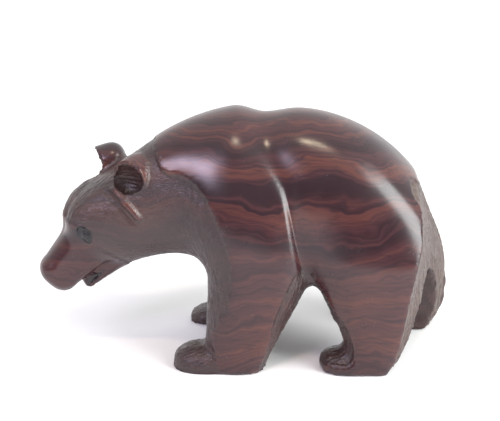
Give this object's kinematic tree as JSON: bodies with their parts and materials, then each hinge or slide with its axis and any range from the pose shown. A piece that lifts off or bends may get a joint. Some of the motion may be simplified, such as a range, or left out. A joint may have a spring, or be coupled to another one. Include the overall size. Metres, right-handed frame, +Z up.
{
  "type": "carved animal figurine",
  "caption": "Solid carved wooden figurine of a walking bear with lowered head turned to its left, open mouth, cupped ears and textured fur bands between polished flanks; rests on its flat paws.",
  "frame": {"origin": "on the ground under the middle of the bounding box, midway between the outer feet", "axes": "+Z up, -X toward the nose, -Y toward the bear's left side, which the head is turned to"},
  "size_m": [0.184, 0.076, 0.1104],
  "materials": {
    "wood": "polished and waxed, with rougher knife-cut fur areas"
  },
  "bodies": {
    "root": {"bear": "wood"}
  },
  "joints": []
}
